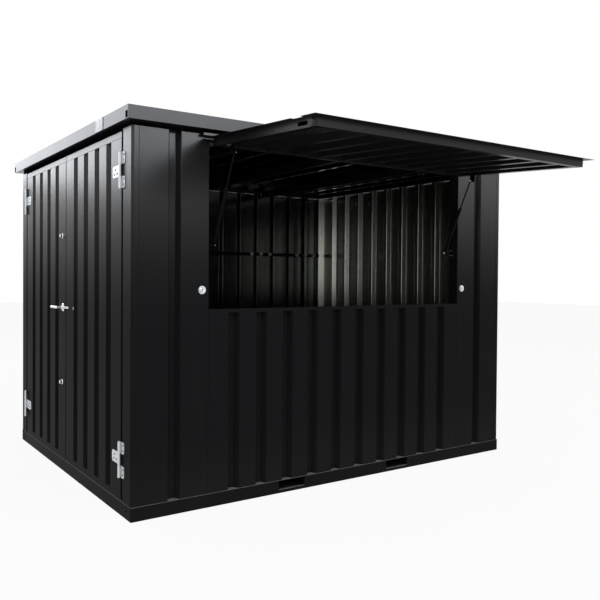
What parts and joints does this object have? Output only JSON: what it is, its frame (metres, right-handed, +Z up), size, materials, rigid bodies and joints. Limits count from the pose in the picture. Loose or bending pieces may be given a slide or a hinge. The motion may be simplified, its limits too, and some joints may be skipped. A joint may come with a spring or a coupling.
{
  "type": "container bar",
  "caption": "Black steel container bar: a flat-packed hut with double doors at one end and a lift-up serving flap on gas struts in a long wall.",
  "frame": {"origin": "middle of the underside, on the centre floor joist", "axes": "+X along the serving wall away from the double doors, -Y out of the serving wall, +Z up"},
  "size_m": [3.153, 3.3354, 2.24],
  "materials": {
    "black_paint": "semi-gloss black",
    "frame_paint": "satin black",
    "strut_paint": "gloss black",
    "zinc_fittings": "galvanised, slightly spangled",
    "zinc_roof": "galvanised sheet",
    "bright_metal": "polished",
    "pale_knobs": "satin",
    "plywood": "sealed birch plywood"
  },
  "bodies": {
    "hut": {"front_base_rail": "frame_paint", "back_base_rail": "frame_paint", "end_base_rails": "frame_paint", "floor_joists": "frame_paint", "fork_channels": "frame_paint", "plywood_floor": "plywood", "corner_posts": "black_paint", "front_left_panel": "black_paint", "front_right_panel": "black_paint", "front_lower_panel": "black_paint", "hatch_sill": "black_paint", "hatch_lintel": "black_paint", "hatch_posts": "black_paint", "back_wall_panels": "black_paint", "end_wall_panel": "black_paint", "door_jambs": "black_paint", "door_header": "frame_paint", "long_eaves_beams": "frame_paint", "end_eaves_beams": "frame_paint", "roof_beams": "frame_paint", "roof_sheet": "zinc_roof", "long_fascias": "black_paint", "end_fascias": "black_paint", "fascia_clip": "zinc_fittings", "drip_flashing": "black_paint", "hatch_locks": "zinc_fittings", "hook_rail": "frame_paint", "hook_knobs": "pale_knobs", "jamb_hinges": "zinc_fittings", "hatch_hinge_leaves": "zinc_fittings", "strut_feet": "strut_paint"},
    "flap": {"flap_sheet": "black_paint", "flap_side_bars": "black_paint", "flap_cross_bars": "black_paint", "flap_hinge_leaves": "zinc_fittings", "strut_heads": "strut_paint"},
    "left_case": {"left_strut_case": "strut_paint"},
    "left_rod": {"left_strut_rod": "strut_paint"},
    "right_case": {"right_strut_case": "strut_paint"},
    "right_rod": {"right_strut_rod": "strut_paint"},
    "near_door": {"near_door_leaf": "black_paint", "near_door_straps": "zinc_fittings"},
    "far_door": {"far_door_leaf": "black_paint", "far_door_straps": "zinc_fittings", "door_locks": "bright_metal"},
    "lever": {"door_lever": "bright_metal"}
  },
  "joints": [
    {"name": "hatch_hinge", "type": "hinge", "parent": "hut", "child": "flap", "pos_m": [0, -1.132, 2.126], "axis": [1, 0, 0], "range_deg": [0, 86.8]},
    {"name": "left_strut_pivot", "type": "hinge", "parent": "hut", "child": "left_case", "pos_m": [-0.984, -1.06, 1.52], "axis": [1, 0, 0], "range_deg": [-26.2, 0]},
    {"name": "left_strut_slide", "type": "slide", "parent": "left_case", "child": "left_rod", "axis": [0, -0.4119, 0.9113], "range_m": [-0.119, 0]},
    {"name": "right_strut_pivot", "type": "hinge", "parent": "hut", "child": "right_case", "pos_m": [0.984, -1.06, 1.52], "axis": [1, 0, 0], "range_deg": [-26.2, 0]},
    {"name": "right_strut_slide", "type": "slide", "parent": "right_case", "child": "right_rod", "axis": [0, -0.4119, 0.9113], "range_m": [-0.119, 0]},
    {"name": "near_door_hinge", "type": "hinge", "parent": "hut", "child": "near_door", "pos_m": [-1.536, -0.985, 1.12], "axis": [0, 0, 1], "range_deg": [0, 180]},
    {"name": "far_door_hinge", "type": "hinge", "parent": "hut", "child": "far_door", "pos_m": [-1.536, 0.985, 1.12], "axis": [0, 0, -1], "range_deg": [0, 180]},
    {"name": "lever_turn", "type": "hinge", "parent": "far_door", "child": "lever", "pos_m": [-1.525, 0.05, 1.12], "axis": [-1, 0, 0], "range_deg": [0, 40], "stiffness_Nm_per_rad": 1.5, "springref_deg": -22.92}
  ],
  "couplings": [
    {"joint": "left_strut_pivot", "follows": "hatch_hinge", "ratio": -0.3011},
    {"joint": "left_strut_slide", "follows": "hatch_hinge", "m_per_rad": -0.078236},
    {"joint": "right_strut_pivot", "follows": "hatch_hinge", "ratio": -0.3011},
    {"joint": "right_strut_slide", "follows": "hatch_hinge", "m_per_rad": -0.078236}
  ]
}
